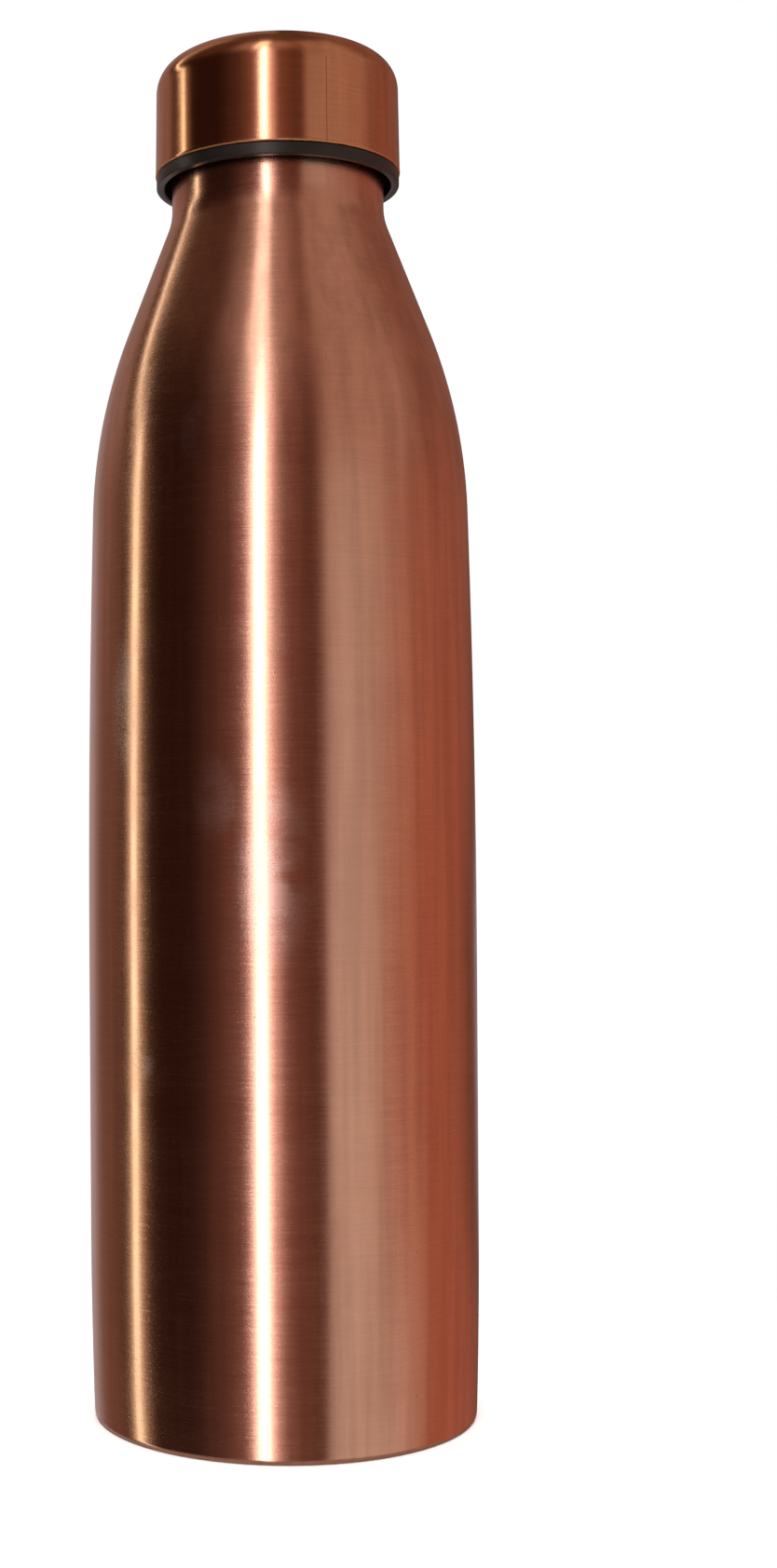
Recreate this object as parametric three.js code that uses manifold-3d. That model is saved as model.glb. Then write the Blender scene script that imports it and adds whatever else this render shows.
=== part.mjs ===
// Copper water bottle with a screw cap: a thin spun copper shell whose foot is crimped over a brazed
// base pan, and a cap made of a drawn copper cup over a black threaded plastic liner with a gasket.
// Millimetres, +Z up. The origin is the centre of the ring that the bottle stands on.
import * as THREE from "three";
import { mergeVertices } from "three/addons/utils/BufferGeometryUtils.js";
import Module from "manifold-3d";

const FACETS = 48; // facets round every turned piece
const degrees = THREE.MathUtils.degToRad;

// Overall sizes
const HEIGHT = 269; // foot to the top of the cap
const BELLY_RADIUS = 38.6;
const FIT_GAP = 0.1; // clearance kept between pieces that are glued, brazed or pressed together

// Bottle wall, from the foot up
const WALL = 0.6; // copper sheet
const FOOT_CORNER = 1; // outer radius of the bend at the foot
const FOOT_WIDTH = 3; // how far the crimped foot reaches in under the pan's rim
const TUCK_TOP = 35; // below this the wall draws in a little
const TUCK_RADIUS = 1110; // large arc of that draw
const BARREL_START = 91; // above this the wall leans in
const BARREL_RADIUS = 2980; // barrel arc, from upright to BARREL_LEAN
const BARREL_LEAN = degrees(1.69);
const SHOULDER_RADIUS = 105.8; // shoulder arc, from BARREL_LEAN to CONE_LEAN
const CONE_LEAN = degrees(21.4); // straight cone between the shoulder and the neck
const NECK_FILLET = 13; // hollow arc from the cone to the upright neck
const NECK_RADIUS = 21.1; // outside of the neck
const LIP_TOP = 263.6;
const LIP_BEAD = 0.95; // radius of the curled lip's section
const LIP_MIDDLE = 20.4; // radius of the circle that the curled lip follows

// Base pan, pressed into the foot with its rim down
const PAN_WALL = 0.7;
const PAN_FLOOR = 5; // height of the pan's underside at its edge
const PAN_DOME = 0.6; // rise of the pan's middle
const PAN_CORNER = 1.6; // outer radius between its rim and its floor
const PAN_BEVEL = 0.4; // lets the rim down into the bend of the foot
const BRAZE_SIZE = 1; // legs of the braze fillet between the foot and the pan's rim

// Cap: copper cup
const CUP_EDGE = 246.3; // lower edge of the copper
const CUP_WALL = 0.5;
const CUP_TOP_RADIUS = 24.1; // just under its rounded top
const CUP_EDGE_RADIUS = 24.4; // the cup widens a little towards its edge
const CUP_CORNER = 6.2; // rounding of the top edge

// Cap: liner, gasket and glue
const PAD_THICKNESS = 1;
const PAD_RADIUS = 15;
const LINER_FOOT = 243.9; // the black collar shows between this and the copper's edge
const COLLAR_RADIUS = 24.2;
const COLLAR_CHAMFER = 0.3;
const BORE_RADIUS = 22.6;
const BORE_BEVEL = 1.2; // between the bore and its closed end
const CROWN = 1.6; // thickness of the liner's closed end
const SPIGOT_OUTER = 17.7; // down-standing ring that centres the gasket
const SPIGOT_INNER = 16.2;
const SPIGOT_DROP = 3;
const GASKET_OUTER = 21.3;
const GASKET_INNER = 17.9;
const GASKET_THICKNESS = 1.9;

// Round-crested thread, one start, right-handed
const LEAD = 6;
const THREAD_RAMP = degrees(30); // each end of a ridge dies away over this angle
const THREAD_END = 0.15; // share of the full section left at the very end, sunk in the wall
const THREAD_ROOT = 0.3; // how far a ridge is sunk in its wall
const THREAD_SECTION_POINTS = 7;
const NECK_THREAD = { start: 249.7, turns: 1.5, height: 1.1, halfWidth: 2.3 };
const GROOVE = { height: 1.0, halfWidth: 1.8 }; // the same thread seen from inside the neck
const LINER_THREAD = { drop: 2.2, turns: 1.25, height: 1.0, halfWidth: 2.2 };

const wasm = await Module();
wasm.setup();

// Point at a distance from a centre, in the direction that leans up from the horizontal by an angle.
function polar(centre, radius, lean) {
  return new THREE.Vector2(
    centre.x + radius * Math.cos(lean),
    centre.y + radius * Math.sin(lean),
  );
}

// Points of an arc between two leans, both ends included. A negative radius gives the hollow side.
function arc(centre, radius, from, to, steps) {
  return Array.from({ length: steps + 1 }, (_, i) =>
    polar(centre, radius, from + ((to - from) * i) / steps),
  );
}

const point = (r, z) => new THREE.Vector2(r, z);

// The bottle's wall from the tuck to the neck, as the points (radius, height) of the surface that
// lies `depth` inside the outer one. Every arc keeps its centre, so the sheet has one thickness.
function wallOutline(depth) {
  const tuck = point(BELLY_RADIUS - TUCK_RADIUS, TUCK_TOP);
  const footLean = -Math.asin(TUCK_TOP / TUCK_RADIUS);
  const barrel = point(BELLY_RADIUS - BARREL_RADIUS, BARREL_START);
  const shoulder = polar(
    polar(barrel, BARREL_RADIUS, BARREL_LEAN),
    -SHOULDER_RADIUS,
    BARREL_LEAN,
  );
  const coneFoot = polar(shoulder, SHOULDER_RADIUS, CONE_LEAN);
  const coneHeadRadius = NECK_RADIUS + NECK_FILLET * (1 - Math.cos(CONE_LEAN));
  const coneRise = (coneFoot.x - coneHeadRadius) / Math.tan(CONE_LEAN);
  const coneHead = point(coneHeadRadius, coneFoot.y + coneRise);
  const neck = polar(coneHead, NECK_FILLET, CONE_LEAN);
  return [
    ...arc(tuck, TUCK_RADIUS - depth, footLean, 0, 1),
    ...arc(barrel, BARREL_RADIUS - depth, 0, BARREL_LEAN, 2),
    ...arc(shoulder, SHOULDER_RADIUS - depth, BARREL_LEAN, CONE_LEAN, 6).slice(1),
    ...arc(neck, -NECK_FILLET - depth, CONE_LEAN, 0, 3),
  ];
}

const FOOT_RADIUS = wallOutline(0)[0].x;

// A turned piece: a closed outline of (radius, height) points, counter-clockwise in half section.
function turned(outline) {
  const profile = [...outline, outline[0].clone()];
  return new THREE.LatheGeometry(profile, FACETS).rotateX(Math.PI / 2);
}

// A helical ridge on a round wall of that radius: outside it where side is 1, inside it where side
// is -1. A straight bar with a rounded section is bent round the axis and climbs by the lead. Its
// base is sunk in the wall, and its ends die away into the wall.
function helicalRidge({ radius, side, start, turns, height, halfWidth }) {
  const rise = height + THREAD_ROOT;
  const section = new THREE.Shape(
    Array.from({ length: THREAD_SECTION_POINTS }, (_, i) => {
      const across = (2 * i) / (THREAD_SECTION_POINTS - 1) - 1;
      return point((rise * (1 + Math.cos(Math.PI * across))) / 2, halfWidth * across);
    }),
  );
  const sweep = turns * 2 * Math.PI;
  const steps = Math.round(turns * FACETS);
  const bar = new THREE.ExtrudeGeometry(section, { depth: sweep, steps, bevelEnabled: false });
  const place = bar.getAttribute("position");
  for (let i = 0; i < place.count; i++) {
    const angle = place.getZ(i);
    const ramp = Math.min(1, angle / THREAD_RAMP, (sweep - angle) / THREAD_RAMP);
    const grown = THREAD_END + (1 - THREAD_END) * ramp;
    const r = radius + side * (place.getX(i) * grown - THREAD_ROOT);
    const z = start - side * place.getY(i) + (LEAD * angle) / (2 * Math.PI);
    place.setXYZ(i, r * Math.cos(angle), r * Math.sin(angle), z);
  }
  return bar;
}

// A closed geometry as a solid that can be joined and cut.
function solid(geometry) {
  const bare = geometry.clone();
  bare.deleteAttribute("normal");
  bare.deleteAttribute("uv");
  const merged = mergeVertices(bare, 1e-4);
  return new wasm.Manifold(
    new wasm.Mesh({
      numProp: 3,
      vertProperties: new Float32Array(merged.getAttribute("position").array),
      triVerts: new Uint32Array(merged.index.array),
    }),
  );
}

function geometryOf(made) {
  const mesh = made.getMesh();
  const geometry = new THREE.BufferGeometry();
  geometry.setAttribute("position", new THREE.BufferAttribute(mesh.vertProperties, 3));
  geometry.setIndex(new THREE.BufferAttribute(mesh.triVerts, 1));
  geometry.computeVertexNormals();
  return geometry;
}

// Crimped foot, wall, neck and curled lip in one sheet, with the thread rolled into the neck.
function bottleShell() {
  const bend = point(FOOT_RADIUS - FOOT_CORNER, FOOT_CORNER);
  const lip = point(LIP_MIDDLE, LIP_TOP - LIP_BEAD);
  const lipOuterLean = -Math.acos((NECK_RADIUS - LIP_MIDDLE) / LIP_BEAD);
  const lipInnerLean = 2 * Math.PI - Math.acos((NECK_RADIUS - WALL - LIP_MIDDLE) / LIP_BEAD);
  const sheet = turned([
    point(FOOT_RADIUS - FOOT_WIDTH, 0),
    ...arc(bend, FOOT_CORNER, degrees(-90), 0, 3),
    ...wallOutline(0).slice(1),
    ...arc(lip, LIP_BEAD, lipOuterLean, lipInnerLean, 8),
    ...wallOutline(WALL).slice(1).reverse(),
    ...arc(bend, FOOT_CORNER - WALL, 0, degrees(-90), 2),
    point(FOOT_RADIUS - FOOT_WIDTH, WALL),
  ]);
  const ridge = helicalRidge({ ...NECK_THREAD, radius: NECK_RADIUS, side: 1 });
  const groove = helicalRidge({ ...NECK_THREAD, ...GROOVE, radius: NECK_RADIUS - WALL, side: 1 });
  return geometryOf(solid(sheet).add(solid(ridge)).subtract(solid(groove)));
}

// Shallow pan whose turned-down rim stands on the crimped foot.
function basePan() {
  const rim = FOOT_RADIUS - WALL - FIT_GAP;
  const rimFoot = WALL + FIT_GAP;
  const corner = point(rim - PAN_CORNER, PAN_FLOOR + PAN_WALL - PAN_CORNER);
  return turned([
    point(0, PAN_FLOOR + PAN_DOME),
    point(corner.x, PAN_FLOOR),
    ...arc(corner, PAN_CORNER - PAN_WALL, degrees(90), 0, 2).slice(1),
    point(rim - PAN_WALL, rimFoot),
    point(rim - PAN_BEVEL, rimFoot),
    point(rim, rimFoot + PAN_BEVEL),
    ...arc(corner, PAN_CORNER, 0, degrees(90), 4),
    point(0, PAN_FLOOR + PAN_WALL + PAN_DOME),
  ]);
}

// Fillet of braze in the corner between the crimped foot and the inside of the pan's rim.
function brazeSeam() {
  const back = FOOT_RADIUS - WALL - FIT_GAP - PAN_WALL - FIT_GAP / 2;
  const bottom = WALL + FIT_GAP / 2;
  return turned([
    point(back - BRAZE_SIZE, bottom),
    point(back, bottom),
    point(back, bottom + BRAZE_SIZE),
  ]);
}

// Centre of the rounding between the cup's wall and its top
const CUP_BEND = point(CUP_TOP_RADIUS - CUP_CORNER, HEIGHT - CUP_CORNER);

// Drawn cup with a rounded top edge and a slight draft.
function capShell() {
  return turned([
    point(CUP_EDGE_RADIUS - CUP_WALL, CUP_EDGE),
    point(CUP_EDGE_RADIUS, CUP_EDGE),
    ...arc(CUP_BEND, CUP_CORNER, 0, degrees(90), 8),
    point(0, HEIGHT),
    point(0, HEIGHT - CUP_WALL),
    ...arc(CUP_BEND, CUP_CORNER - CUP_WALL, degrees(90), 0, 8),
  ]);
}

// Heights inside the cap, from the copper down to the gasket
const PAD_TOP = HEIGHT - CUP_WALL - FIT_GAP;
const CROWN_TOP = PAD_TOP - PAD_THICKNESS - FIT_GAP;
const CEILING = CROWN_TOP - CROWN;
const GASKET_TOP = CEILING - FIT_GAP;

function adhesivePad() {
  return turned([
    point(0, PAD_TOP - PAD_THICKNESS),
    point(PAD_RADIUS, PAD_TOP - PAD_THICKNESS),
    point(PAD_RADIUS, PAD_TOP),
    point(0, PAD_TOP),
  ]);
}

// Plastic cup inside the copper one: collar, threaded bore, closed crown and gasket spigot.
function capLiner() {
  const skirt = CUP_EDGE_RADIUS - CUP_WALL - FIT_GAP;
  const crownRadius = CUP_CORNER - CUP_WALL - FIT_GAP;
  const crownLean = Math.asin((CROWN_TOP - CUP_BEND.y) / crownRadius);
  const cup = turned([
    point(BORE_RADIUS, LINER_FOOT),
    point(COLLAR_RADIUS - COLLAR_CHAMFER, LINER_FOOT),
    point(COLLAR_RADIUS, LINER_FOOT + COLLAR_CHAMFER),
    point(COLLAR_RADIUS, CUP_EDGE - FIT_GAP),
    point(skirt, CUP_EDGE - FIT_GAP),
    ...arc(CUP_BEND, crownRadius, 0, crownLean, 3),
    point(0, CROWN_TOP),
    point(0, CEILING),
    point(SPIGOT_INNER, CEILING),
    point(SPIGOT_INNER, CEILING - SPIGOT_DROP),
    point(SPIGOT_OUTER, CEILING - SPIGOT_DROP),
    point(SPIGOT_OUTER, CEILING),
    point(BORE_RADIUS - BORE_BEVEL, CEILING),
    point(BORE_RADIUS, CEILING - BORE_BEVEL),
  ]);
  const start = NECK_THREAD.start - LINER_THREAD.drop;
  const ridge = helicalRidge({ ...LINER_THREAD, start, radius: BORE_RADIUS, side: -1 });
  return geometryOf(solid(cup).add(solid(ridge)));
}

function capGasket() {
  return turned([
    point(GASKET_INNER, GASKET_TOP - GASKET_THICKNESS),
    point(GASKET_OUTER, GASKET_TOP - GASKET_THICKNESS),
    point(GASKET_OUTER, GASKET_TOP),
    point(GASKET_INNER, GASKET_TOP),
  ]);
}

function material(color, roughness, metalness) {
  return new THREE.MeshStandardMaterial({ color, roughness, metalness });
}

const bodyCopper = material(0xb8765a, 0.32, 1);
const capCopper = material(0xb97a4e, 0.3, 1);
const brazeAlloy = material(0xc9a368, 0.45, 1);
const blackPlastic = material(0x2a2725, 0.4, 0);
const silicone = material(0xd9d7d0, 0.6, 0);
const glue = material(0xd8c89a, 0.55, 0);

const bottle = new THREE.Group();
bottle.name = "copper_water_bottle";

function add(name, geometry, finish) {
  const mesh = new THREE.Mesh(geometry, finish);
  mesh.name = name;
  bottle.add(mesh);
}

add("bottle_shell", bottleShell(), bodyCopper);
add("base_pan", basePan(), bodyCopper);
add("base_braze_seam", brazeSeam(), brazeAlloy);
add("cap_shell", capShell(), capCopper);
add("cap_adhesive_pad", adhesivePad(), glue);
add("cap_liner", capLiner(), blackPlastic);
add("cap_gasket", capGasket(), silicone);

export default bottle;
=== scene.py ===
"""Looks of the copper water bottle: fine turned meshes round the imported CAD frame, brushed copper and
plastic materials, a pale floor and studio light. Metres, +Z up, camera on -Y looking along +Y."""

import math
import random

import bpy
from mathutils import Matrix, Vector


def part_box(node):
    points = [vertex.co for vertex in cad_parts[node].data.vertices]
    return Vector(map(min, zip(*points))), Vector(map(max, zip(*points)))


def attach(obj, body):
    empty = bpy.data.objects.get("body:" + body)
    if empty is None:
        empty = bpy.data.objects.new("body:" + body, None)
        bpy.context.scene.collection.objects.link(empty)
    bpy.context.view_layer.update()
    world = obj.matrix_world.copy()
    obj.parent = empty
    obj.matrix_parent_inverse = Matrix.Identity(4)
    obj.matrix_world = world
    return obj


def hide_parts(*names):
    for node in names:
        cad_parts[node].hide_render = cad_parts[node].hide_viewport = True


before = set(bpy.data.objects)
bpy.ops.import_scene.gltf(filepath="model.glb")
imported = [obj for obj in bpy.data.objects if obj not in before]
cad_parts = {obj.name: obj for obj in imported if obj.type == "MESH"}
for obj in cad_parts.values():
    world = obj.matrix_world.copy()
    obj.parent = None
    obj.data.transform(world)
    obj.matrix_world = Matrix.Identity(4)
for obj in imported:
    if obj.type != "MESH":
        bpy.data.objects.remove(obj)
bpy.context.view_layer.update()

MM = 0.001
SEGMENTS = 256  # facets round every turned piece
SHARP = math.radians(40)  # edges that turn more than this stay sharp
ON_AXIS = 1e-7  # a radius below this is the axis

# Places read from the frame
_, SHELL_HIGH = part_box("bottle_shell")
PAN_LOW, PAN_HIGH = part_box("base_pan")
BRAZE_LOW, BRAZE_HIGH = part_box("base_braze_seam")
CUP_LOW, CUP_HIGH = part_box("cap_shell")
PAD_LOW, PAD_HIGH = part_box("cap_adhesive_pad")
LINER_LOW, LINER_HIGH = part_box("cap_liner")
GASKET_LOW, GASKET_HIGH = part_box("cap_gasket")

# Bottle wall, as in the CAD
WALL = 0.6 * MM
FOOT_CORNER = 1 * MM
FOOT_WIDTH = 3 * MM
TUCK_TOP = 35 * MM
TUCK_RADIUS = 1110 * MM
BARREL_START = 91 * MM
BARREL_RADIUS = 2980 * MM
BARREL_LEAN = math.radians(1.69)
SHOULDER_RADIUS = 105.8 * MM
CONE_LEAN = math.radians(21.4)
NECK_FILLET = 13 * MM
NECK_RADIUS = 21.1 * MM
LIP_BEAD = 0.95 * MM
LIP_MIDDLE = 20.4 * MM
SHEET_EDGE = 0.15 * MM  # rounding of a cut edge of copper

# Cap, as in the CAD
CUP_WALL = 0.5 * MM
CUP_CORNER = 6.2 * MM
CUP_TAPER = 0.3 * MM  # how much the cup's radius shrinks up to its rounded top edge
GLUE_GAP = 0.1 * MM
CUT_EDGE = 0.3 * MM  # height of the cup's bare cut edge

# Threads: one start, right-handed, on the neck and inside the liner
LEAD = 6 * MM
RAMP = math.radians(30)
NECK_THREAD = {"start": 249.7 * MM, "turns": 1.5, "height": 1.05 * MM, "half_width": 1.6 * MM}
LINER_THREAD = {"start": 247.5 * MM, "turns": 1.25, "height": 0.95 * MM, "half_width": 1.5 * MM}


# Outlines -------------------------------------------------------------------------------------------


def polar(centre, radius, lean):
    """The point at a distance from the centre, at a lean above the horizontal."""
    return centre[0] + radius * math.cos(lean), centre[1] + radius * math.sin(lean)


def arc(centre, radius, start, end, steps):
    """Points of an arc between two leans, both ends included."""
    return [polar(centre, radius, start + (end - start) * i / steps) for i in range(steps + 1)]


def degrees_arc(centre, radius, start, end, steps):
    """The same arc, with its leans in degrees."""
    return arc(centre, radius, math.radians(start), math.radians(end), steps)


def line(start, end, steps):
    """Points of a straight stretch, its last point left out."""
    return [
        (start[0] + (end[0] - start[0]) * i / steps, start[1] + (end[1] - start[1]) * i / steps)
        for i in range(steps)
    ]


def wall_outline(depth):
    """The wall from the tuck to the top of the neck's hollow, `depth` inside its outer surface."""
    belly = SHELL_HIGH.x
    tuck = (belly - TUCK_RADIUS, TUCK_TOP)
    foot_lean = -math.asin((TUCK_TOP - FOOT_CORNER) / TUCK_RADIUS)
    barrel = (belly - BARREL_RADIUS, BARREL_START)
    shoulder = polar(polar(barrel, BARREL_RADIUS, BARREL_LEAN), -SHOULDER_RADIUS, BARREL_LEAN)
    cone_foot = polar(shoulder, SHOULDER_RADIUS, CONE_LEAN)
    cone_head_radius = NECK_RADIUS + NECK_FILLET * (1 - math.cos(CONE_LEAN))
    cone_rise = (cone_foot[0] - cone_head_radius) / math.tan(CONE_LEAN)
    neck = polar((cone_head_radius, cone_foot[1] + cone_rise), NECK_FILLET, CONE_LEAN)
    return [
        *arc(tuck, TUCK_RADIUS - depth, foot_lean, 0, 6),
        *arc(barrel, BARREL_RADIUS - depth, 0, BARREL_LEAN, 12),
        *arc(shoulder, SHOULDER_RADIUS - depth, BARREL_LEAN, CONE_LEAN, 40)[1:],
        *arc(neck, -NECK_FILLET - depth, CONE_LEAN, 0, 16),
    ]


def foot_radius():
    """Where the tuck, carried on down, would meet the floor."""
    return SHELL_HIGH.x - TUCK_RADIUS + math.sqrt(TUCK_RADIUS**2 - TUCK_TOP**2)


# Meshes ---------------------------------------------------------------------------------------------


def turned(name, outline, shape=None):
    """A piece turned from a closed outline of (radius, height), counter-clockwise in half section.
    A point on the axis is one vertex. shape(radius, height, angle) moves a point of the surface."""
    vertices = []
    rings = []
    for radius, height in outline:
        if radius < ON_AXIS:
            rings.append([len(vertices)] * SEGMENTS)
            vertices.append((0, 0, height))
            continue
        rings.append(range(len(vertices), len(vertices) + SEGMENTS))
        for i in range(SEGMENTS):
            angle = 2 * math.pi * i / SEGMENTS
            r, z = shape(radius, height, angle) if shape else (radius, height)
            vertices.append((r * math.cos(angle), r * math.sin(angle), z))
    faces = []
    for low, high in zip(rings, rings[1:] + rings[:1]):
        for i in range(SEGMENTS):
            j = (i + 1) % SEGMENTS
            corners = list(dict.fromkeys((low[i], low[j], high[j], high[i])))
            if len(corners) > 2:
                faces.append(corners)
    mesh = bpy.data.meshes.new(name)
    mesh.from_pydata(vertices, [], faces)
    mesh.shade_smooth()
    mesh.set_sharp_from_angle(angle=SHARP)
    piece = bpy.data.objects.new(name, mesh)
    bpy.context.scene.collection.objects.link(piece)
    return piece


def thread_height(angle, z, start, turns, height, half_width):
    """How far a helical ridge stands out of its wall at that angle and height."""
    stands = 0
    sweep = turns * 2 * math.pi
    for turn in range(math.ceil(turns)):
        along = angle + turn * 2 * math.pi
        across = abs(z - start - LEAD * along / (2 * math.pi)) / half_width
        if along < sweep and across < 1:
            ramp = min(1, along / RAMP, (sweep - along) / RAMP)
            stands = max(stands, height * ramp * (1 + math.cos(math.pi * across)) / 2)
    return stands


def wobble(seed, waves, size):
    """A smooth uneven curve round the circle: a function of the angle, of about that size."""
    chance = random.Random(seed)
    parts = [(chance.uniform(-1, 1), k, chance.uniform(0, 2 * math.pi)) for k in waves]
    scale = size / math.sqrt(len(parts))
    return lambda angle: scale * sum(a * math.sin(k * angle + phase) for a, k, phase in parts)


def place(piece, node, body, material):
    """The piece rides on a body in place of its CAD node."""
    piece.data.materials.append(material)
    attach(piece, body)
    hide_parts(node)


# Pieces ---------------------------------------------------------------------------------------------


def bottle_shell(material):
    """Foot, wall, shoulder, neck and curled lip in one sheet, with the thread rolled into the neck."""
    foot = foot_radius()
    bend = (foot - FOOT_CORNER, FOOT_CORNER)
    inner_edge = foot - FOOT_WIDTH
    outer_wall = wall_outline(0)
    inner_wall = wall_outline(WALL)
    neck_foot = outer_wall[-1][1]
    lip = (LIP_MIDDLE, SHELL_HIGH.z - LIP_BEAD)
    leave = -math.acos((NECK_RADIUS - LIP_MIDDLE) / LIP_BEAD)
    meet = 2 * math.pi - math.acos((NECK_RADIUS - WALL - LIP_MIDDLE) / LIP_BEAD)
    bead = arc(lip, LIP_BEAD, leave, meet, 28)
    neck_rows = 70
    outline = [
        *degrees_arc((inner_edge + SHEET_EDGE, SHEET_EDGE), SHEET_EDGE, 180, 270, 4),
        *arc(bend, FOOT_CORNER, -math.pi / 2, 0, 10),
        *outer_wall[1:-1],
        *line((NECK_RADIUS, neck_foot), bead[0], neck_rows),
        *bead[:-1],
        *line(bead[-1], (NECK_RADIUS - WALL, neck_foot), neck_rows),
        *reversed(inner_wall[1:]),
        *arc(bend, FOOT_CORNER - WALL, 0, -math.pi / 2, 6),
        *degrees_arc((inner_edge + SHEET_EDGE, WALL - SHEET_EDGE), SHEET_EDGE, 90, 180, 4),
    ]
    lip_foot = SHELL_HIGH.z - 2 * LIP_BEAD

    def rolled(radius, z, angle):
        if neck_foot < z < lip_foot:
            radius += thread_height(angle, z, **NECK_THREAD)
        return radius, z

    piece = turned("bottle_shell_turned", outline, rolled)
    place(piece, "bottle_shell", "bottle", material)


def base_pan(material):
    """Shallow pressed pan with a slightly domed floor."""
    wall = 0.7 * MM
    corner_radius = 1.6 * MM
    bevel = 0.4 * MM
    rim = PAN_HIGH.x
    floor_top = PAN_HIGH.z
    dome = 0.6 * MM
    corner = (rim - corner_radius, floor_top - dome - corner_radius)
    steps = 14
    outward = [1 - i / steps for i in range(steps + 1)]
    top = [(corner[0] * share, floor_top - dome * share**2) for share in outward]
    outline = [
        *[(r, z - wall) for r, z in reversed(top)][:-1],
        *degrees_arc(corner, corner_radius - wall, 90, 0, 6),
        *degrees_arc((rim - wall + SHEET_EDGE, PAN_LOW.z + SHEET_EDGE), SHEET_EDGE, 180, 270, 4),
        (rim - bevel, PAN_LOW.z),
        (rim, PAN_LOW.z + bevel),
        *degrees_arc(corner, corner_radius, 0, 90, 10)[:-1],
        *top,
    ]
    place(turned("base_pan_pressed", outline), "base_pan", "bottle", material)


def base_braze_seam(material):
    """An uneven hollow fillet, run in by hand."""
    back = BRAZE_HIGH.x
    foot = BRAZE_LOW.z
    size = BRAZE_HIGH.z - foot
    leg = 0.92 * size
    hollow = 0.9 * size
    fill = 0.9
    unevenness = 0.09
    outline = [
        (back - leg, foot),
        (back, foot),
        (back, foot + leg),
        *degrees_arc((back - size, foot + size), hollow, -8, -82, 8),
    ]
    uneven = wobble(5, (3, 7, 11, 19, 31, 47), unevenness)

    def run(radius, z, angle):
        grown = fill + uneven(angle)
        return back + (radius - back) * grown, foot + (z - foot) * grown

    piece = turned("base_braze_fillet", outline, run)
    place(piece, "base_braze_seam", "bottle", material)


def cap_cup(material):
    """Drawn copper cup, with a trimmed lower edge that is slightly uneven and turned out."""
    edge_radius = CUP_HIGH.x
    top_radius = edge_radius - CUP_TAPER
    burr = 0.05 * MM
    burr_height = 0.4 * MM
    turn_up = 0.25 * MM
    edge = CUP_LOW.z
    corner = (top_radius - CUP_CORNER, CUP_HIGH.z - CUP_CORNER)
    flat_edge = 0.9 * corner[0]  # the top is flat inside this radius
    drawn = edge_radius - burr
    trim = 0.07 * MM
    steps = 10
    outline = [
        *degrees_arc((drawn - CUP_WALL + SHEET_EDGE, edge + SHEET_EDGE), SHEET_EDGE, 180, 270, 4),
        *degrees_arc((edge_radius - turn_up, edge + turn_up), turn_up, 270, 360, 6),
        (drawn, edge + burr_height),
        *line((drawn, edge + 2 * burr_height), (top_radius, corner[1]), steps),
        *degrees_arc(corner, CUP_CORNER, 0, 90, 24),
        *line((flat_edge, CUP_HIGH.z), (0, CUP_HIGH.z), steps),
        (0, CUP_HIGH.z),
        (0, CUP_HIGH.z - CUP_WALL),
        (flat_edge, CUP_HIGH.z - CUP_WALL),
        *degrees_arc(corner, CUP_CORNER - CUP_WALL, 90, 0, 12),
    ]
    uneven = wobble(11, (2, 5, 9, 14, 23, 37, 52, 71), trim)

    def trimmed(radius, z, angle):
        if z < edge + burr_height:
            z += abs(uneven(angle))
        return radius, z

    piece = turned("cap_cup_drawn", outline, trimmed)
    place(piece, "cap_shell", "cap", material)


def cap_adhesive_pad(material):
    """A squeezed blob of glue with a bulged, uneven edge."""
    half = (PAD_HIGH.z - PAD_LOW.z) / 2
    middle = PAD_HIGH.z - half
    spread = PAD_HIGH.x - half
    outline = [
        (0, PAD_LOW.z),
        *degrees_arc((spread, middle), half, -90, 90, 10),
        (0, PAD_HIGH.z),
    ]
    fill = 0.95
    unevenness = 0.04
    uneven = wobble(3, (2, 3, 5, 8), unevenness)

    def squeezed(radius, z, angle):
        return radius * (fill + uneven(angle)), z

    piece = turned("cap_adhesive_blob", outline, squeezed)
    place(piece, "cap_adhesive_pad", "cap", material)


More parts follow.
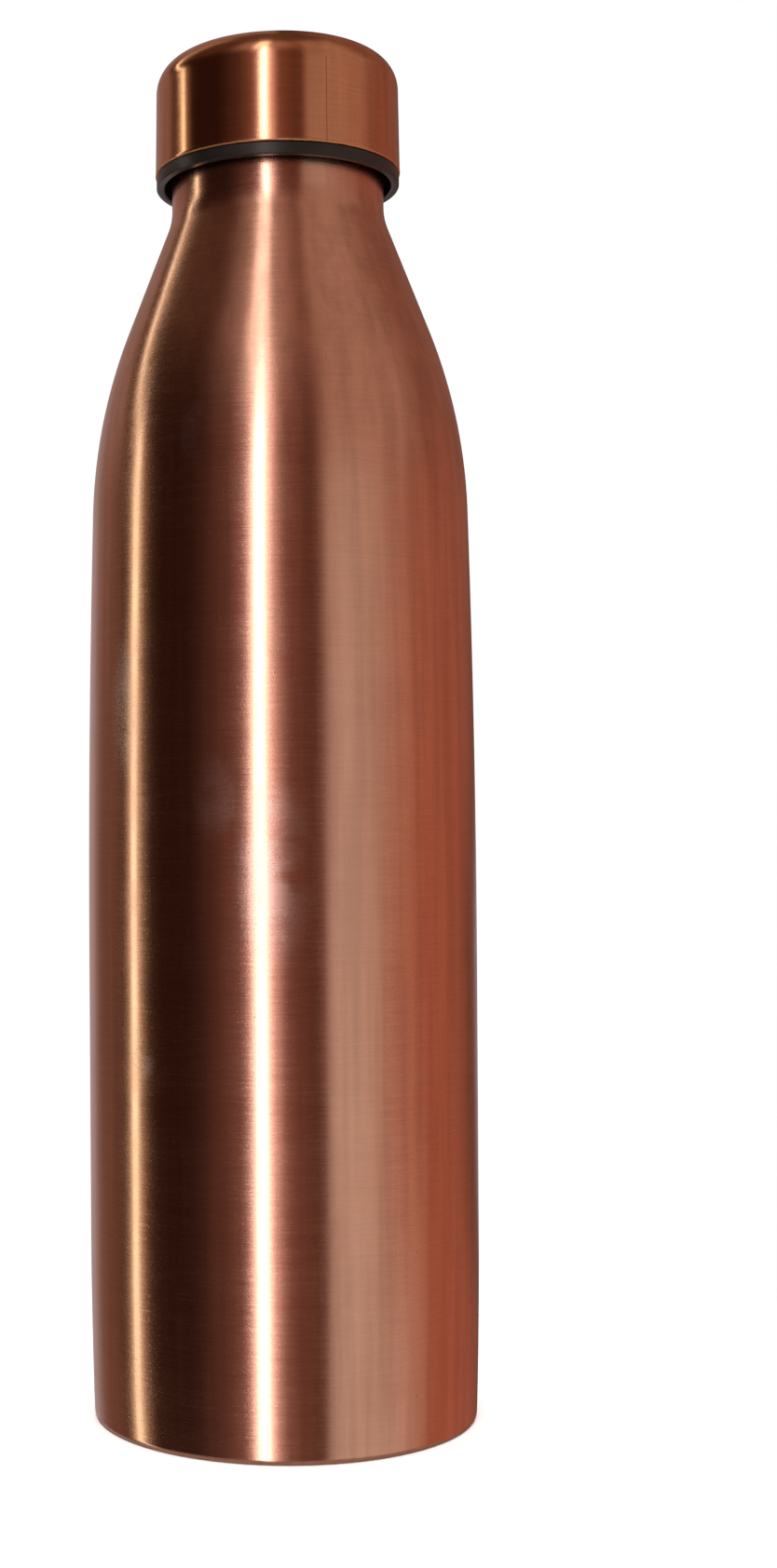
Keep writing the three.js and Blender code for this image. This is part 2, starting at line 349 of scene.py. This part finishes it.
def cap_liner(material):
    """Moulded liner: collar, threaded bore, crown and the spigot that centres the gasket."""
    foot = LINER_LOW.z
    collar = LINER_HIGH.x
    collar_top = CUP_LOW.z - GLUE_GAP
    rounding = 0.3 * MM
    bore = 22.6 * MM
    crown_top = LINER_HIGH.z
    crown_wall = 1.6 * MM
    ceiling = crown_top - crown_wall
    inside_cup = CUP_WALL + GLUE_GAP
    skirt = CUP_HIGH.x - inside_cup
    bend = (CUP_HIGH.x - CUP_TAPER - CUP_CORNER, CUP_HIGH.z - CUP_CORNER)
    bend_radius = CUP_CORNER - inside_cup
    bore_bevel = 1.2 * MM
    spigot_outer = 17.7 * MM
    spigot_inner = 16.2 * MM
    spigot_depth = 3 * MM
    spigot_foot = ceiling - spigot_depth
    bore_rows = 80
    on_bore = 0.01 * MM  # a point this near the bore is on it
    outline = [
        *degrees_arc((bore + rounding, foot + rounding), rounding, 180, 270, 5),
        *degrees_arc((collar - rounding, foot + rounding), rounding, 270, 360, 5),
        *degrees_arc((collar - rounding / 2, collar_top - rounding / 2), rounding / 2, 0, 90, 4),
        (skirt, collar_top),
        *arc(bend, bend_radius, 0, math.asin((crown_top - bend[1]) / bend_radius), 12),
        (0, crown_top),
        (0, ceiling),
        (spigot_inner, ceiling),
        *degrees_arc((spigot_inner + rounding, spigot_foot + rounding), rounding, 180, 270, 4),
        *degrees_arc((spigot_outer - rounding, spigot_foot + rounding), rounding, 270, 360, 4),
        (spigot_outer, ceiling),
        *degrees_arc((bore - bore_bevel, ceiling - bore_bevel), bore_bevel, 90, 0, 6)[:-1],
        *line((bore, ceiling - bore_bevel), (bore, foot + rounding), bore_rows),
    ]

    def threaded(radius, z, angle):
        if abs(radius - bore) < on_bore and z < ceiling - bore_bevel:
            radius -= thread_height(angle, z, **LINER_THREAD)
        return radius, z

    piece = turned("cap_liner_moulded", outline, threaded)
    place(piece, "cap_liner", "cap", material)


def cap_gasket(material):
    """Flat silicone ring with rounded edges."""
    rounding = 0.35 * MM
    outer = GASKET_HIGH.x
    inner = 17.9 * MM
    low = GASKET_LOW.z
    high = GASKET_HIGH.z
    outline = [
        *degrees_arc((inner + rounding, low + rounding), rounding, 180, 270, 5),
        *degrees_arc((outer - rounding, low + rounding), rounding, 270, 360, 5),
        *degrees_arc((outer - rounding, high - rounding), rounding, 0, 90, 5),
        *degrees_arc((inner + rounding, high - rounding), rounding, 90, 180, 5),
    ]
    piece = turned("cap_gasket_moulded", outline)
    place(piece, "cap_gasket", "cap_seal", material)


# Materials ------------------------------------------------------------------------------------------


class Nodes:
    """Short calls for building one node tree."""

    def __init__(self, tree):
        self.tree = tree

    def add(self, kind, **settings):
        node = self.tree.nodes.new(kind)
        for key, value in settings.items():
            setattr(node, key, value)
        return node

    def link(self, output, socket):
        self.tree.links.new(output, socket)

    def feed(self, socket, value):
        """A socket takes either another node's output or a plain value."""
        if isinstance(value, bpy.types.NodeSocket):
            self.link(value, socket)
        else:
            socket.default_value = value

    def math(self, operation, first, second=0.0, third=0.0):
        node = self.add("ShaderNodeMath", operation=operation)
        for socket, value in zip(node.inputs, (first, second, third)):
            self.feed(socket, value)
        return node.outputs[0]

    def total(self, first, *others):
        for other in others:
            first = self.math("ADD", first, other)
        return first

    def vector(self, x, y, z):
        node = self.add("ShaderNodeCombineXYZ")
        for socket, value in zip(node.inputs, (x, y, z)):
            self.feed(socket, value)
        return node.outputs[0]

    def noise(self, vector, scale=1.0, detail=2.0, roughness=0.5, distortion=0.0):
        node = self.add("ShaderNodeTexNoise")
        self.link(vector, node.inputs["Vector"])
        node.inputs["Scale"].default_value = scale
        node.inputs["Detail"].default_value = detail
        node.inputs["Roughness"].default_value = roughness
        node.inputs["Distortion"].default_value = distortion
        return node.outputs["Fac"]

    def fit(self, value, low, high, new_low=0.0, new_high=1.0, smooth=False):
        """value, taken from low..high to new_low..new_high and held at the ends."""
        node = self.add("ShaderNodeMapRange", interpolation_type="SMOOTHSTEP" if smooth else "LINEAR")
        ends = {"From Min": low, "From Max": high, "To Min": new_low, "To Max": new_high}
        for key, number in ends.items():
            self.feed(node.inputs[key], number)
        self.link(value, node.inputs["Value"])
        return node.outputs["Result"]

    def blend(self, amount, first, second, mode="MIX"):
        node = self.add("ShaderNodeMix", data_type="RGBA", blend_type=mode)
        self.feed(node.inputs["Factor"], amount)
        for key, colour in (("A", first), ("B", second)):
            socket = next(s for s in node.inputs if s.name == key and s.type == "RGBA")
            self.feed(socket, (*colour, 1) if isinstance(colour, tuple) else colour)
        return next(s for s in node.outputs if s.type == "RGBA")

    def bump(self, height, distance, normal=None):
        node = self.add("ShaderNodeBump")
        node.inputs["Strength"].default_value = 1
        node.inputs["Distance"].default_value = distance
        self.link(height, node.inputs["Height"])
        if normal is not None:
            self.link(normal, node.inputs["Normal"])
        return node.outputs["Normal"]


def new_material(name):
    """A material with one Principled shader, and what is needed to build its nodes."""
    material = bpy.data.materials.new(name)
    material.use_nodes = True
    nodes = Nodes(material.node_tree)
    shader = material.node_tree.nodes["Principled BSDF"]
    place_of = nodes.add("ShaderNodeTexCoord").outputs["Object"]
    parts = nodes.add("ShaderNodeSeparateXYZ")
    nodes.link(place_of, parts.inputs[0])
    x, y, z = parts.outputs
    return material, nodes, shader, place_of, x, y, z


# Brushed copper. A pair of sizes is a mark's length round the axis and its width across the brushing.
FINE_LINES = (6 * MM, 0.28 * MM)
COARSE_LINES = (30 * MM, 0.6 * MM)
BANDS = (120 * MM, 6 * MM)
CLOUD_SIZE = 26 * MM
GRAIN_SIZE = 0.35 * MM
STREAK_WIDTH = 2.6 * MM
STREAK_LENGTH = 70 * MM
FINE_DEPTH = 0.013 * MM
COARSE_DEPTH = 0.004 * MM
TARNISH = 0.35  # how far the clouds go towards the dull colour
BRUSHING = 0.75  # how much the brushing stretches the reflections
QUARTER_TURN = 0.25  # turns the stretch to run up the wall
MOST_NOISE = (0.3, 0.7)  # nearly all of a noise's values lie between these

NICK_SPACING = 5 * MM
NICK_EDGE = (0.02, 0.05)  # where a nick ends, as a share of the spacing
NICK_SHARE = 0.25  # how many of the possible nicks there are
NICK_DEPTH = 0.03 * MM

# Where hands and cloths have left marks on the body: azimuth from the camera, radius and height of
# the middle, width, height
BODY_SMUDGES = (
    (-2, 38.6 * MM, 108 * MM, 17 * MM, 40 * MM),
    (-19, 38.5 * MM, 122 * MM, 10 * MM, 18 * MM),
    (-52, 38.4 * MM, 139 * MM, 10 * MM, 30 * MM),
    (-43, 38.6 * MM, 73 * MM, 8 * MM, 9 * MM),
    (-26, 36.6 * MM, 190 * MM, 7 * MM, 16 * MM),
)
WISP_SIZE = 9 * MM
WISP_EDGE = (0.28, 0.62)  # noise values from clean metal to full smudge
SMUDGE_ROUGHNESS = 0.06
SMUDGE_COAT_ROUGHNESS = 0.28
SMUDGE_COAT_IOR = 2.6

SEAM_AZIMUTH = 22.8
SEAM_EDGE = (0.03 * MM, 0.12 * MM)  # half its width where it is full, and where it ends
SEAM_COLOUR = (0.1, 0.04, 0.02)
SEAM_STRENGTH = 0.6
RAW_COLOUR = (0.95, 0.52, 0.26)
RAW_ROUGHNESS = 0.35


def along_brush(nodes, x, y, z, length, width):
    """Noise coordinates whose features are `length` long round the axis and `width` across it."""
    squares = nodes.math("ADD", nodes.math("MULTIPLY", x, x), nodes.math("MULTIPLY", y, y))
    radius = nodes.math("POWER", squares, 0.5)
    profile = nodes.math("ADD", z, radius)
    return nodes.vector(
        nodes.math("DIVIDE", x, length),
        nodes.math("DIVIDE", y, length),
        nodes.math("DIVIDE", profile, width),
    )


def up_the_wall(nodes, x, y, z):
    """Noise coordinates whose features are narrow round the axis and long up the wall."""
    return nodes.vector(
        nodes.math("DIVIDE", x, STREAK_WIDTH),
        nodes.math("DIVIDE", y, STREAK_WIDTH),
        nodes.math("DIVIDE", z, STREAK_LENGTH),
    )


def blot(nodes, x, y, z, azimuth, radius, height, width, tall):
    """A soft round mask on the wall, at an azimuth from the camera and a height above the foot."""
    angle = math.radians(azimuth)
    offsets = (
        nodes.math("DIVIDE", nodes.math("SUBTRACT", x, radius * math.sin(angle)), width / 2),
        nodes.math("DIVIDE", nodes.math("ADD", y, radius * math.cos(angle)), width / 2),
        nodes.math("DIVIDE", nodes.math("SUBTRACT", z, height), tall / 2),
    )
    squares = [nodes.math("MULTIPLY", offset, offset) for offset in offsets]
    return nodes.fit(nodes.total(*squares), 0, 1, 1, 0, smooth=True)


def wall_line(nodes, x, y, z, azimuth, top):
    """A fine upright line on the wall, below `top`."""
    angle = math.radians(azimuth)
    across = nodes.math(
        "ADD",
        nodes.math("MULTIPLY", x, math.cos(angle)),
        nodes.math("MULTIPLY", y, math.sin(angle)),
    )
    front = nodes.math(
        "SUBTRACT",
        nodes.math("MULTIPLY", x, math.sin(angle)),
        nodes.math("MULTIPLY", y, math.cos(angle)),
    )
    near = nodes.fit(nodes.math("ABSOLUTE", across), *SEAM_EDGE, 1, 0)
    near = nodes.math("MULTIPLY", near, nodes.math("GREATER_THAN", front, 0.0))
    return nodes.math("MULTIPLY", near, nodes.math("LESS_THAN", z, top))


def copper_marks(nodes, place_of, x, y, z):
    """Noises of copper brushed round the axis and polished up the wall."""
    return {
        "fine": nodes.noise(along_brush(nodes, x, y, z, *FINE_LINES), detail=3, roughness=0.7),
        "coarse": nodes.noise(along_brush(nodes, x, y, z, *COARSE_LINES), detail=3, roughness=0.6),
        "bands": nodes.noise(along_brush(nodes, x, y, z, *BANDS), detail=2),
        "clouds": nodes.noise(place_of, scale=1 / CLOUD_SIZE, detail=4, roughness=0.62, distortion=0.6),
        "streaks": nodes.noise(up_the_wall(nodes, x, y, z), detail=3, roughness=0.55),
        "grain": nodes.noise(place_of, scale=1 / GRAIN_SIZE, detail=1),
    }


def copper_tone(nodes, marks, colour, dull):
    """Clean copper with duller clouds, a little lighter or darker along the lines and streaks."""
    tone = nodes.blend(nodes.fit(marks["clouds"], 0.35, 0.7, 0, TARNISH), colour, dull)
    lines = nodes.fit(marks["coarse"], *MOST_NOISE, 0.98, 1.02)
    lines = nodes.math("MULTIPLY", lines, nodes.fit(marks["fine"], *MOST_NOISE, 0.94, 1.06))
    lines = nodes.math("MULTIPLY", lines, nodes.fit(marks["streaks"], 0.38, 0.62, 0.93, 1.08))
    return nodes.blend(1.0, tone, nodes.vector(lines, lines, lines), "MULTIPLY")


def copper_roughness(nodes, marks, gloss):
    """Roughness within `gloss` along the hairlines, up or down in bands, and more in clouds and grain."""
    return nodes.total(
        nodes.fit(marks["fine"], 0.25, 0.75, *gloss),
        nodes.fit(marks["bands"], 0.35, 0.65, -0.01, 0.015),
        nodes.fit(marks["clouds"], 0.55, 0.75, 0, 0.03, smooth=True),
        nodes.fit(marks["grain"], 0.62, 0.75, 0, 0.06),
    )


def copper_nicks(nodes, place_of):
    """A mask of tiny scattered dents."""
    cells = nodes.add("ShaderNodeTexVoronoi", feature="F1")
    cells.inputs["Scale"].default_value = 1 / NICK_SPACING
    nodes.link(place_of, cells.inputs["Vector"])
    chance = nodes.add("ShaderNodeSeparateColor")
    nodes.link(cells.outputs["Color"], chance.inputs[0])
    chosen = nodes.math("GREATER_THAN", chance.outputs[0], 1 - NICK_SHARE)
    return nodes.math("MULTIPLY", nodes.fit(cells.outputs["Distance"], *NICK_EDGE, 1, 0), chosen)


def smudge_haze(nodes, place_of, x, y, z, smudges):
    """A wispy mask of all the smudges."""
    haze = blot(nodes, x, y, z, *smudges[0])
    for smudge in smudges[1:]:
        haze = nodes.math("MAXIMUM", haze, blot(nodes, x, y, z, *smudge))
    wisps = nodes.noise(place_of, scale=1 / WISP_SIZE, detail=4, roughness=0.6, distortion=0.3)
    return nodes.math("MULTIPLY", haze, nodes.fit(wisps, *WISP_EDGE, smooth=True))


def brushed_copper(name, colour, dull, gloss, smudges=(), seam_azimuth=None, raw_edge_below=None):
    """Bare copper brushed round the axis: hairlines in roughness and relief, tarnish clouds, upright
    polishing streaks and tiny nicks. `gloss` is the roughness between hairlines and on them. Smudges
    are a rougher patch with a thin coat. A seam azimuth draws a fine dark line down the wall, and
    the metal below raw_edge_below is a bright unbrushed cut."""
    material, nodes, shader, place_of, x, y, z = new_material(name)
    marks = copper_marks(nodes, place_of, x, y, z)
    tone = copper_tone(nodes, marks, colour, dull)
    roughness = copper_roughness(nodes, marks, gloss)

    if smudges:
        haze = smudge_haze(nodes, place_of, x, y, z, smudges)
        roughness = nodes.math("ADD", roughness, nodes.math("MULTIPLY", haze, SMUDGE_ROUGHNESS))
        nodes.link(haze, shader.inputs["Coat Weight"])
        shader.inputs["Coat Roughness"].default_value = SMUDGE_COAT_ROUGHNESS
        shader.inputs["Coat IOR"].default_value = SMUDGE_COAT_IOR

    if seam_azimuth is not None:
        seam = wall_line(nodes, x, y, z, seam_azimuth, CUP_HIGH.z - CUP_CORNER)
        tone = nodes.blend(nodes.math("MULTIPLY", seam, SEAM_STRENGTH), tone, SEAM_COLOUR)

    brushing = BRUSHING
    if raw_edge_below is not None:
        raw = nodes.math("LESS_THAN", z, raw_edge_below)
        roughness = nodes.math("ADD", roughness, nodes.math("MULTIPLY", raw, RAW_ROUGHNESS))
        tone = nodes.blend(raw, tone, RAW_COLOUR)
        brushing = nodes.math("MULTIPLY", nodes.math("SUBTRACT", 1.0, raw), BRUSHING)

    relief = nodes.bump(marks["fine"], FINE_DEPTH)
    relief = nodes.bump(marks["coarse"], COARSE_DEPTH, relief)
    relief = nodes.bump(copper_nicks(nodes, place_of), NICK_DEPTH, relief)

    nodes.link(tone, shader.inputs["Base Color"])
    nodes.link(roughness, shader.inputs["Roughness"])
    nodes.link(relief, shader.inputs["Normal"])
    nodes.feed(shader.inputs["Anisotropic"], brushing)
    tangent = nodes.add("ShaderNodeTangent", direction_type="RADIAL", axis="Z")
    nodes.link(tangent.outputs[0], shader.inputs["Tangent"])
    shader.inputs["Metallic"].default_value = 1
    shader.inputs["Anisotropic Rotation"].default_value = QUARTER_TURN
    return material


def body_copper():
    return brushed_copper(
        "body_copper", (0.86, 0.5, 0.36), (0.76, 0.41, 0.29), gloss=(0.19, 0.25), smudges=BODY_SMUDGES
    )


def cap_copper():
    """Redder and glossier than the body, with a draw line and the cup's bare cut edge."""
    return brushed_copper(
        "cap_copper",
        (0.84, 0.43, 0.25),
        (0.77, 0.36, 0.19),
        gloss=(0.14, 0.20),
        seam_azimuth=SEAM_AZIMUTH,
        raw_edge_below=CUP_LOW.z + CUT_EDGE,
    )


PATCH_SIZE = 9 * MM  # of uneven tone and gloss on plastic, silicone, glue and braze


def plain_with_grain(name, colour, other, gloss, grain, relief):
    """A moulded or cast surface: two close tones, uneven gloss and a fine relief."""
    material, nodes, shader, place_of, *_ = new_material(name)
    patches = nodes.noise(place_of, scale=1 / PATCH_SIZE, detail=3)
    fine = nodes.noise(place_of, scale=1 / grain, detail=3)
    tone = nodes.blend(nodes.fit(patches, 0.35, 0.65), colour, other)
    roughness = nodes.fit(patches, *MOST_NOISE, *gloss)
    nodes.link(tone, shader.inputs["Base Color"])
    nodes.link(roughness, shader.inputs["Roughness"])
    nodes.link(nodes.bump(fine, relief), shader.inputs["Normal"])
    return material, shader


def liner_plastic():
    material, _ = plain_with_grain(
        "liner_plastic",
        (0.010, 0.008, 0.007),
        (0.017, 0.013, 0.012),
        gloss=(0.28, 0.42),
        grain=0.5 * MM,
        relief=0.02 * MM,
    )
    return material


def silicone():
    material, shader = plain_with_grain(
        "gasket_silicone",
        (0.62, 0.61, 0.57),
        (0.7, 0.69, 0.65),
        gloss=(0.45, 0.6),
        grain=0.8 * MM,
        relief=0.01 * MM,
    )
    shader.inputs["Subsurface Weight"].default_value = 0.3
    shader.inputs["Subsurface Scale"].default_value = 1 * MM
    return material


def glue():
    material, _ = plain_with_grain(
        "adhesive",
        (0.6, 0.5, 0.28),
        (0.68, 0.58, 0.36),
        gloss=(0.35, 0.5),
        grain=1.5 * MM,
        relief=0.05 * MM,
    )
    return material


def braze():
    material, shader = plain_with_grain(
        "braze_alloy",
        (0.6, 0.42, 0.2),
        (0.42, 0.26, 0.13),
        gloss=(0.3, 0.55),
        grain=0.6 * MM,
        relief=0.06 * MM,
    )
    shader.inputs["Metallic"].default_value = 1
    return material


# Stage ----------------------------------------------------------------------------------------------

PAPER = (1, 1, 1)  # what the camera sees behind the bottle

# The studio as the copper sees it: soft-edged upright lights and walls round the bottle. Each has its
# first and last azimuth in degrees from the camera towards +X, the width of its soft left and right
# edges, its brightness, and its tint. The first list is level with the bottle, the second above it.
# The photographer's room isn't known: the numbers were fitted to the bands seen in the copper.
EVERYWHERE = (-200, 200, 1, 1)
LEVEL_LIGHTS = {
    "dark room": (*EVERYWHERE, 0.024, (1, 0.4, 0.28)),
    "wall behind, left": (-200, -160, 1, 30, 0.25, (1, 1.05, 1.2)),
    "left wall": (-200, -125, 1, 32, 0.14, (1, 0.55, 0.4)),
    "left strip": (-97.3, -96, 2.7, 2.5, 2.5, (1, 1.05, 0.85)),
    "left strip's glow": (-98, -95, 8, 12, 0.3, (1, 0.65, 0.4)),
    "front strip": (-13.8, -11.2, 2.2, 2.6, 4.5, (1, 0.97, 0.98)),
    "front strip's halo": (-14, -11, 7, 13, 1.1, (1, 0.78, 0.8)),
    "front strip's glow": (-20, -8, 38, 30, 0.11, (1, 0.45, 0.36)),
    "right wall": (-5, 200, 30, 1, 0.075, (1, 0.42, 0.3)),
    "red curtain": (29, 103, 6, 70, 0.26, (1, 0.36, 0.24)),
    "pale panel": (29, 62, 5, 7, 0.2, (0.6, 1, 0.92)),
    "panel's bright edge": (29, 40, 5, 25, 0.15, (0.5, 0.95, 1.1)),
    "wall behind, right": (182, 200, 30, 1, 0.27, (1, 1, 1.1)),
}
HIGH_LIGHTS = {
    "dim room": (*EVERYWHERE, 0.078, (1, 0.46, 0.3)),
    "left wall": (-164, -108, 16, 10, 0.2, (1, 0.75, 0.68)),
    "left strip": (-99, -92, 6, 12, 0.38, (1, 0.8, 0.58)),
    "front strip": (-22, -14, 7, 7, 1.75, (1, 0.93, 0.88)),
    "front strip's glow": (-30, -5, 35, 30, 0.3, (1, 0.72, 0.65)),
    "right wall": (20, 164, 30, 14, 0.14, (1, 0.5, 0.4)),
    "pale panel": (36, 84, 12, 25, 0.15, (1, 0.9, 0.78)),
}
CEILING = (0.108, 0.06, 0.036)  # light from overhead
TABLE = (0.27, 0.2, 0.17)  # light from below, off the pale table

# Two sides of the studio, and the heights over which the light changes, in degrees
LEFT_SIDE = (-90, -60)  # azimuths where the left side ends
RIGHT_SIDE = (42, 66)  # azimuths where the swaying lights on the right begin
RIGHT_HIGH = (18, 30)  # azimuths where the side walls' heights begin, right of the camera
FAR_LEFT_HIGH = (-124, -112)  # and where they end, on the left
FRONT_CHANGE = (28, 52)  # heights from the level list to the high one, in front
SIDE_CHANGE = (0, 24)  # the same at the side walls
STRIP_CHANGE = (31, 46)  # the same at the left strip
CEILING_CHANGE = (57, 75)  # heights from the lights to the ceiling
TABLE_CHANGE = (-25, -50)  # and to the table

SLANT_HEIGHTS = (15, 36)
LEFT_STRIP_SLANT = 27  # how far the left strip leans back at its top, in degrees
CURTAIN_SWAY = 12  # how far the edges of the lights on the right wander, in degrees
CURTAIN_FOLD = (60, 4)  # azimuth and height of a fold
CURTAIN_LEANS = (  # first height, last height, and the lights' shift at each
    (-2, 3, 2, -12),
    (8, 15, 0, 14),
    (-10, -14, 0, -24),
)
RIPPLE = (7, 22)  # azimuth and height of a ripple in the lights on the right
RIPPLE_STRENGTH = (0.82, 1.22)
FOLD_SEED = 0.3
RIPPLE_SEED = 0.7


def light_from(nodes, azimuth, lights):
    """The sum of a list of lights, seen at an azimuth."""
    total = (0, 0, 0)
    for start, end, left_edge, right_edge, brightness, tint in lights.values():
        left = nodes.fit(azimuth, start - left_edge, start, smooth=True)
        right = nodes.fit(azimuth, end, end + right_edge, 1, 0, smooth=True)
        colour = tuple(brightness * channel for channel in tint)
        total = nodes.blend(nodes.math("MULTIPLY", left, right), total, colour, "ADD")
    return total


def uneven_light(nodes, azimuth, height, size, seed):
    """Noise over the studio, with features of that size in azimuth and height."""
    wide, tall = size
    across = nodes.math("DIVIDE", azimuth, wide)
    upward = nodes.math("DIVIDE", height, tall)
    return nodes.noise(nodes.vector(across, upward, seed))


def bend_lights(nodes, azimuth, height, on_left, on_right):
    """The azimuth at which to look a light up: the left strip leans, and the right side sways."""
    slant = nodes.fit(height, *SLANT_HEIGHTS, 0, LEFT_STRIP_SLANT, smooth=True)
    folds = uneven_light(nodes, azimuth, height, CURTAIN_FOLD, FOLD_SEED)
    sway = nodes.fit(folds, *MOST_NOISE, -CURTAIN_SWAY, CURTAIN_SWAY)
    leans = [nodes.fit(height, *lean, smooth=True) for lean in CURTAIN_LEANS]
    shift = nodes.math(
        "ADD",
        nodes.math("MULTIPLY", slant, on_left),
        nodes.math("MULTIPLY", nodes.total(sway, *leans), on_right),
    )
    return nodes.math("ADD", azimuth, shift)


def share_of_high_lights(nodes, azimuth, height, on_left):
    """How much of the high list is seen: from lower down at the side walls than in front."""
    in_front = nodes.fit(height, *FRONT_CHANGE, smooth=True)
    at_sides = nodes.fit(height, *SIDE_CHANGE, smooth=True)
    right = nodes.fit(azimuth, *RIGHT_HIGH, smooth=True)
    far_left = nodes.fit(azimuth, *FAR_LEFT_HIGH, 1, 0, smooth=True)
    sideways = nodes.math("ADD", right, far_left)
    more = nodes.math("MULTIPLY", sideways, nodes.math("SUBTRACT", at_sides, in_front))
    at_strip = nodes.math("MULTIPLY", on_left, nodes.fit(height, *STRIP_CHANGE, smooth=True))
    return nodes.math("MAXIMUM", nodes.math("ADD", in_front, more), at_strip)


def rippled(nodes, light, azimuth, height, on_right):
    """The same light with soft ripples on the right."""
    ripples = uneven_light(nodes, azimuth, height, RIPPLE, RIPPLE_SEED)
    ripples = nodes.fit(ripples, *MOST_NOISE, *RIPPLE_STRENGTH)
    change = nodes.math("MULTIPLY", nodes.math("SUBTRACT", ripples, 1.0), on_right)
    strength = nodes.math("ADD", 1.0, change)
    return nodes.blend(1.0, light, nodes.vector(strength, strength, strength), "MULTIPLY")


def studio_light(nodes):
    """The colour of the studio in the direction that is looked at."""
    parts = nodes.add("ShaderNodeSeparateXYZ")
    nodes.link(nodes.add("ShaderNodeTexCoord").outputs["Generated"], parts.inputs[0])
    x, y, z = parts.outputs
    azimuth = nodes.math("ARCTAN2", x, nodes.math("MULTIPLY", y, -1.0))
    azimuth = nodes.math("MULTIPLY", azimuth, math.degrees(1))
    height = nodes.math("MULTIPLY", nodes.math("ARCSINE", z), math.degrees(1))
    on_left = nodes.fit(azimuth, *LEFT_SIDE, 1, 0, smooth=True)
    on_right = nodes.fit(azimuth, *RIGHT_SIDE, smooth=True)
    azimuth = bend_lights(nodes, azimuth, height, on_left, on_right)

    up = share_of_high_lights(nodes, azimuth, height, on_left)
    level = light_from(nodes, azimuth, LEVEL_LIGHTS)
    high = light_from(nodes, azimuth, HIGH_LIGHTS)
    light = nodes.blend(up, level, high)
    light = nodes.blend(nodes.fit(height, *CEILING_CHANGE, smooth=True), light, CEILING)
    light = nodes.blend(nodes.fit(height, *TABLE_CHANGE, smooth=True), light, TABLE)
    return rippled(nodes, light, azimuth, height, on_right)


def add_studio_world():
    """White to the camera, and the studio's lights to everything else."""
    world = bpy.data.worlds.new("studio")
    bpy.context.scene.world = world
    world.use_nodes = True
    world.node_tree.nodes.clear()
    nodes = Nodes(world.node_tree)
    studio = nodes.add("ShaderNodeBackground")
    nodes.link(studio_light(nodes), studio.inputs["Color"])
    paper = nodes.add("ShaderNodeBackground")
    paper.inputs["Color"].default_value = (*PAPER, 1)
    mix = nodes.add("ShaderNodeMixShader")
    nodes.link(nodes.add("ShaderNodeLightPath").outputs["Is Camera Ray"], mix.inputs["Fac"])
    nodes.link(studio.outputs[0], mix.inputs[1])
    nodes.link(paper.outputs[0], mix.inputs[2])
    nodes.link(mix.outputs[0], nodes.add("ShaderNodeOutputWorld").inputs["Surface"])


FLOOR_RADIUS = 3
FLOOR_SIDES = 64
FLOOR_GAP = 0.1 * MM  # keeps the floor just under the foot
FLOOR_FADE = (0.04, 0.16)  # distances from the axis over which it fades into the background


def add_floor():
    """A pale round floor that fades into the background away from the bottle."""
    mesh = bpy.data.meshes.new("floor")
    angles = [2 * math.pi * i / FLOOR_SIDES for i in range(FLOOR_SIDES)]
    rim = [(FLOOR_RADIUS * math.cos(a), FLOOR_RADIUS * math.sin(a), -FLOOR_GAP) for a in angles]
    mesh.from_pydata(rim, [], [range(FLOOR_SIDES)])
    floor = bpy.data.objects.new("floor", mesh)
    bpy.context.scene.collection.objects.link(floor)
    material, nodes, shader, place_of, *_ = new_material("floor")
    shader.inputs["Base Color"].default_value = (0.85, 0.85, 0.85, 1)
    shader.inputs["Roughness"].default_value = 0.9
    length = nodes.add("ShaderNodeVectorMath", operation="LENGTH")
    nodes.link(place_of, length.inputs[0])
    away = nodes.fit(length.outputs["Value"], *FLOOR_FADE, smooth=True)
    glow = nodes.add("ShaderNodeEmission")
    glow.inputs["Color"].default_value = (*PAPER, 1)
    mix = nodes.add("ShaderNodeMixShader")
    nodes.link(away, mix.inputs["Fac"])
    nodes.link(shader.outputs[0], mix.inputs[1])
    nodes.link(glow.outputs[0], mix.inputs[2])
    nodes.link(mix.outputs[0], material.node_tree.nodes["Material Output"].inputs["Surface"])
    mesh.materials.append(material)
    floor.visible_glossy = False


def add_overhead_light():
    """A broad soft light over the bottle, which lights the floor and plastic but isn't reflected."""
    data = bpy.data.lights.new("overhead", "AREA")
    data.shape = "DISK"
    data.size = 1.2
    data.energy = 40
    light = bpy.data.objects.new("overhead", data)
    light.location = (0, 0, 1.3)
    light.visible_camera = False
    light.visible_glossy = False
    bpy.context.scene.collection.objects.link(light)


# Camera: at the height and distance that give the photograph's perspective, fitted to the outline
CAMERA_DISTANCE = 430 * MM
CAMERA_HEIGHT = 119.1 * MM
CAMERA_LENS = 49.26
CAMERA_SHIFT = (0.1229, 0.0191)
CAMERA_YAW = 0.04  # looks a little past the bottle, on its left
CAMERA_ROLL = math.radians(0.368)


def add_camera():
    """Near level, with a small roll and turn, at the photograph's viewing angle."""
    data = bpy.data.cameras.new("camera")
    data.lens = CAMERA_LENS
    data.shift_x, data.shift_y = CAMERA_SHIFT
    data.clip_start = 10 * MM
    camera = bpy.data.objects.new("camera", data)
    camera.location = (0, -CAMERA_DISTANCE, CAMERA_HEIGHT)
    camera.rotation_euler = (math.pi / 2, CAMERA_ROLL, CAMERA_YAW)
    bpy.context.scene.collection.objects.link(camera)
    bpy.context.scene.camera = camera


def main():
    copper = body_copper()
    bottle_shell(copper)
    base_pan(copper)
    base_braze_seam(braze())
    cap_cup(cap_copper())
    cap_adhesive_pad(glue())
    cap_liner(liner_plastic())
    cap_gasket(silicone())
    add_studio_world()
    add_floor()
    add_overhead_light()
    add_camera()
    bpy.context.scene.view_settings.view_transform = "Standard"


main()
